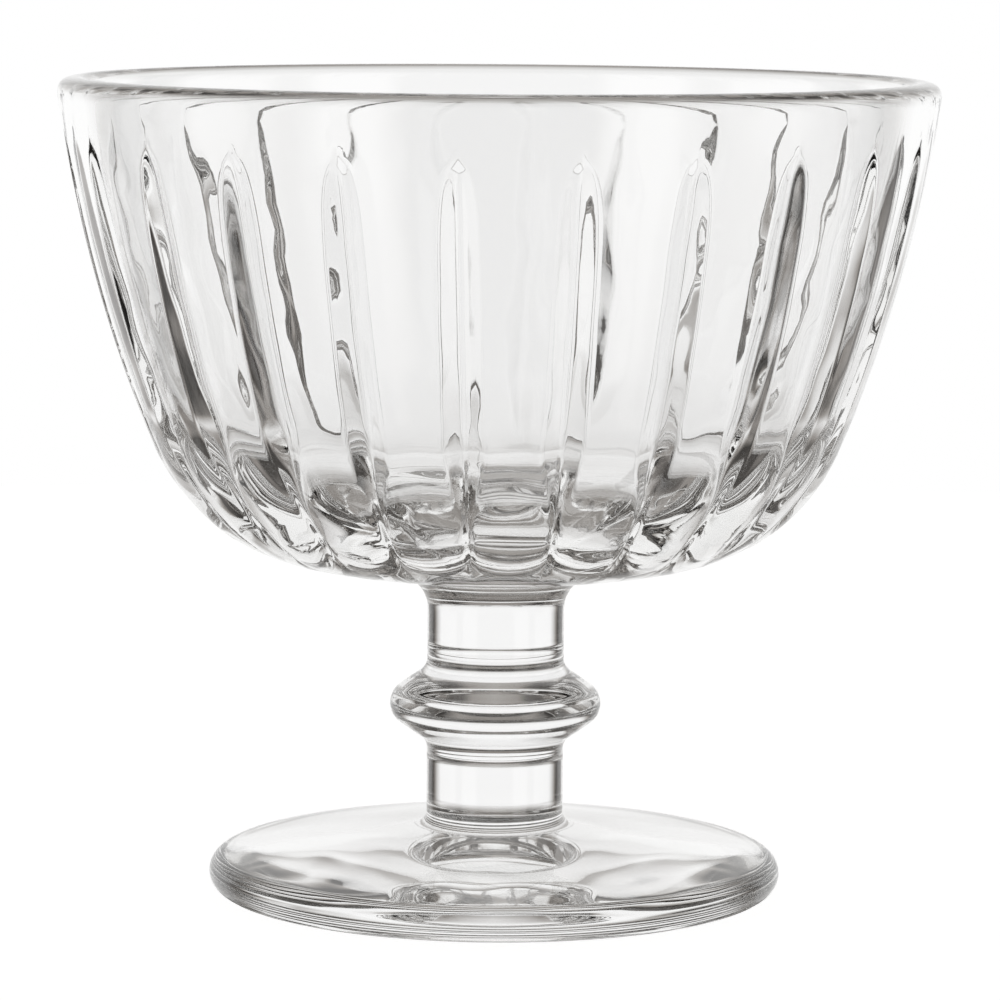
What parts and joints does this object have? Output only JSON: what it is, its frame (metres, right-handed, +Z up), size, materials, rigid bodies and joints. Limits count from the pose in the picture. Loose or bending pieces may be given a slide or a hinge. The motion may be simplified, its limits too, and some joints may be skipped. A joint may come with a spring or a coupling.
{
  "type": "footed dessert glass",
  "caption": "Low footed dessert glass: a wide bowl with fine vertical flutes, a short stem with a sharp knop, and a round foot.",
  "frame": {"origin": "centre of the foot on the surface that the glass stands on", "axes": "+Z up along the glass's axis of turning; -Y is the side that the picture shows"},
  "size_m": [0.1146, 0.1146, 0.1068],
  "materials": {
    "clear_glass": "clear, fire-polished pressed glass with slight mould waviness"
  },
  "bodies": {
    "root": {"bowl": "clear_glass", "neck": "clear_glass", "knop": "clear_glass", "lower_stem": "clear_glass", "foot": "clear_glass"}
  },
  "joints": []
}
